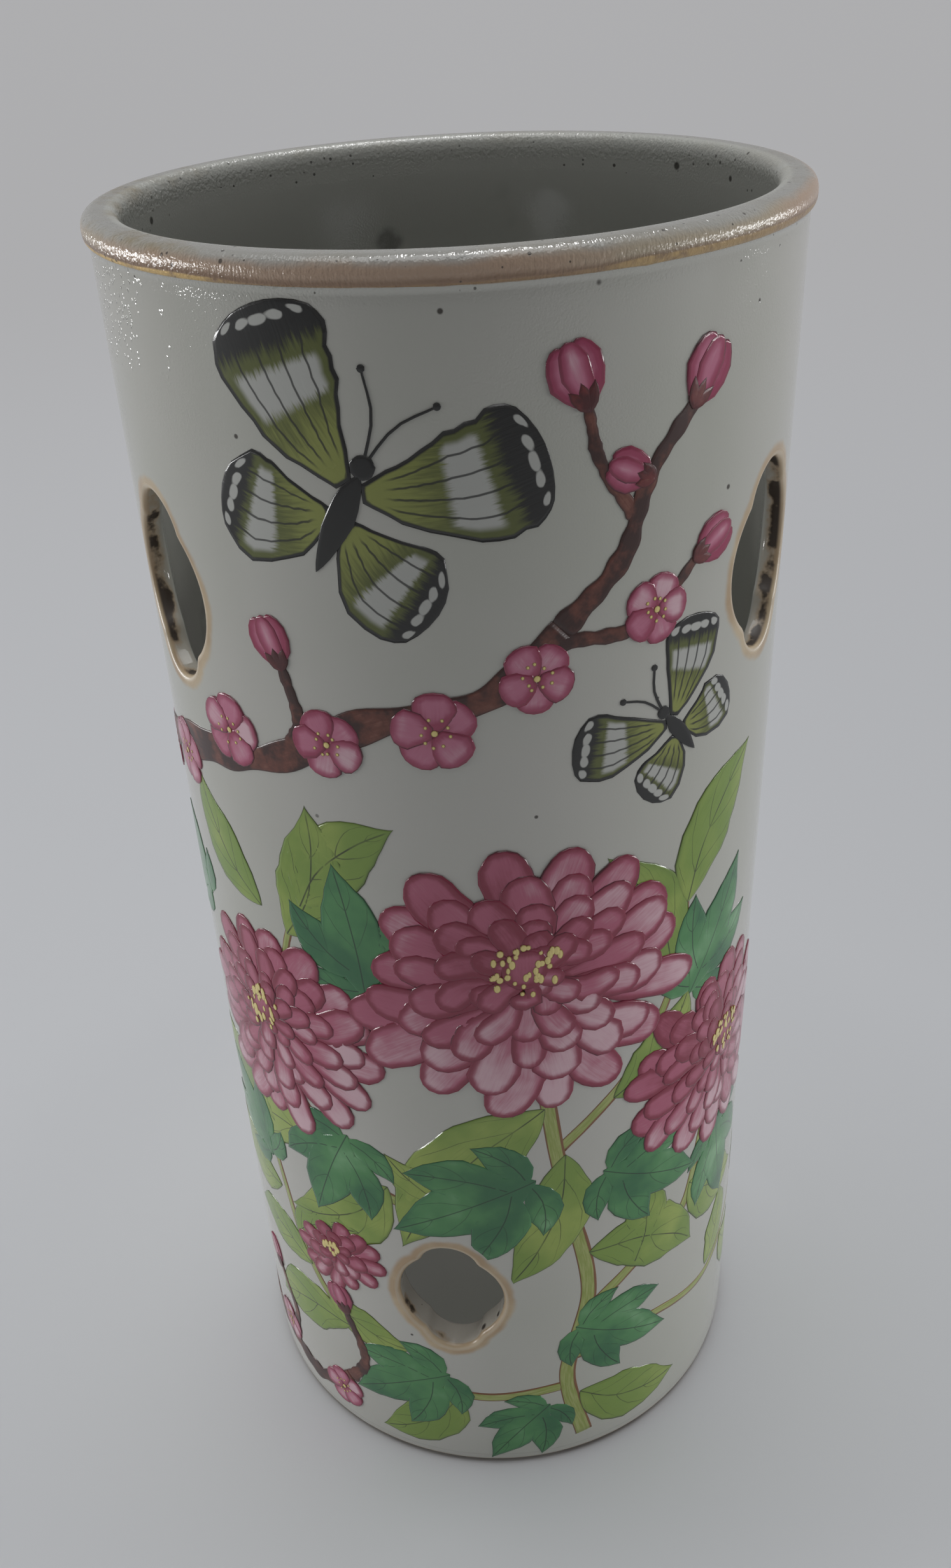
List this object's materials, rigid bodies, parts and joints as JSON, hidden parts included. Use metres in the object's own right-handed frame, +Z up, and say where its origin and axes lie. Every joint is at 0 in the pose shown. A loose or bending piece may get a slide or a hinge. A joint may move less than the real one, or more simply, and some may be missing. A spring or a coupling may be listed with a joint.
{
  "type": "hat stand",
  "caption": "Tall porcelain hat stand: a slightly tapering open cylinder with a rounded lip, a shallow foot ring and two staggered rows of pierced lobed openings.",
  "frame": {"origin": "centre of the foot, on the surface the stand rests on", "axes": "+Z up along the axis of the cylinder; the side that the picture shows looks along -Y, and +X is to its right"},
  "size_m": [0.127, 0.127, 0.282],
  "materials": {
    "glaze": "glossy clear glaze over off-white porcelain with a faint grey-green tint, painted over the glaze in enamels that stand slightly proud",
    "bare_clay": "unglazed fired porcelain, matt, burnt a light buff where the foot was wiped clean"
  },
  "bodies": {
    "root": {"foot_ring": "bare_clay", "floor_slab": "glaze", "wall": "glaze", "lip": "glaze"}
  },
  "joints": []
}
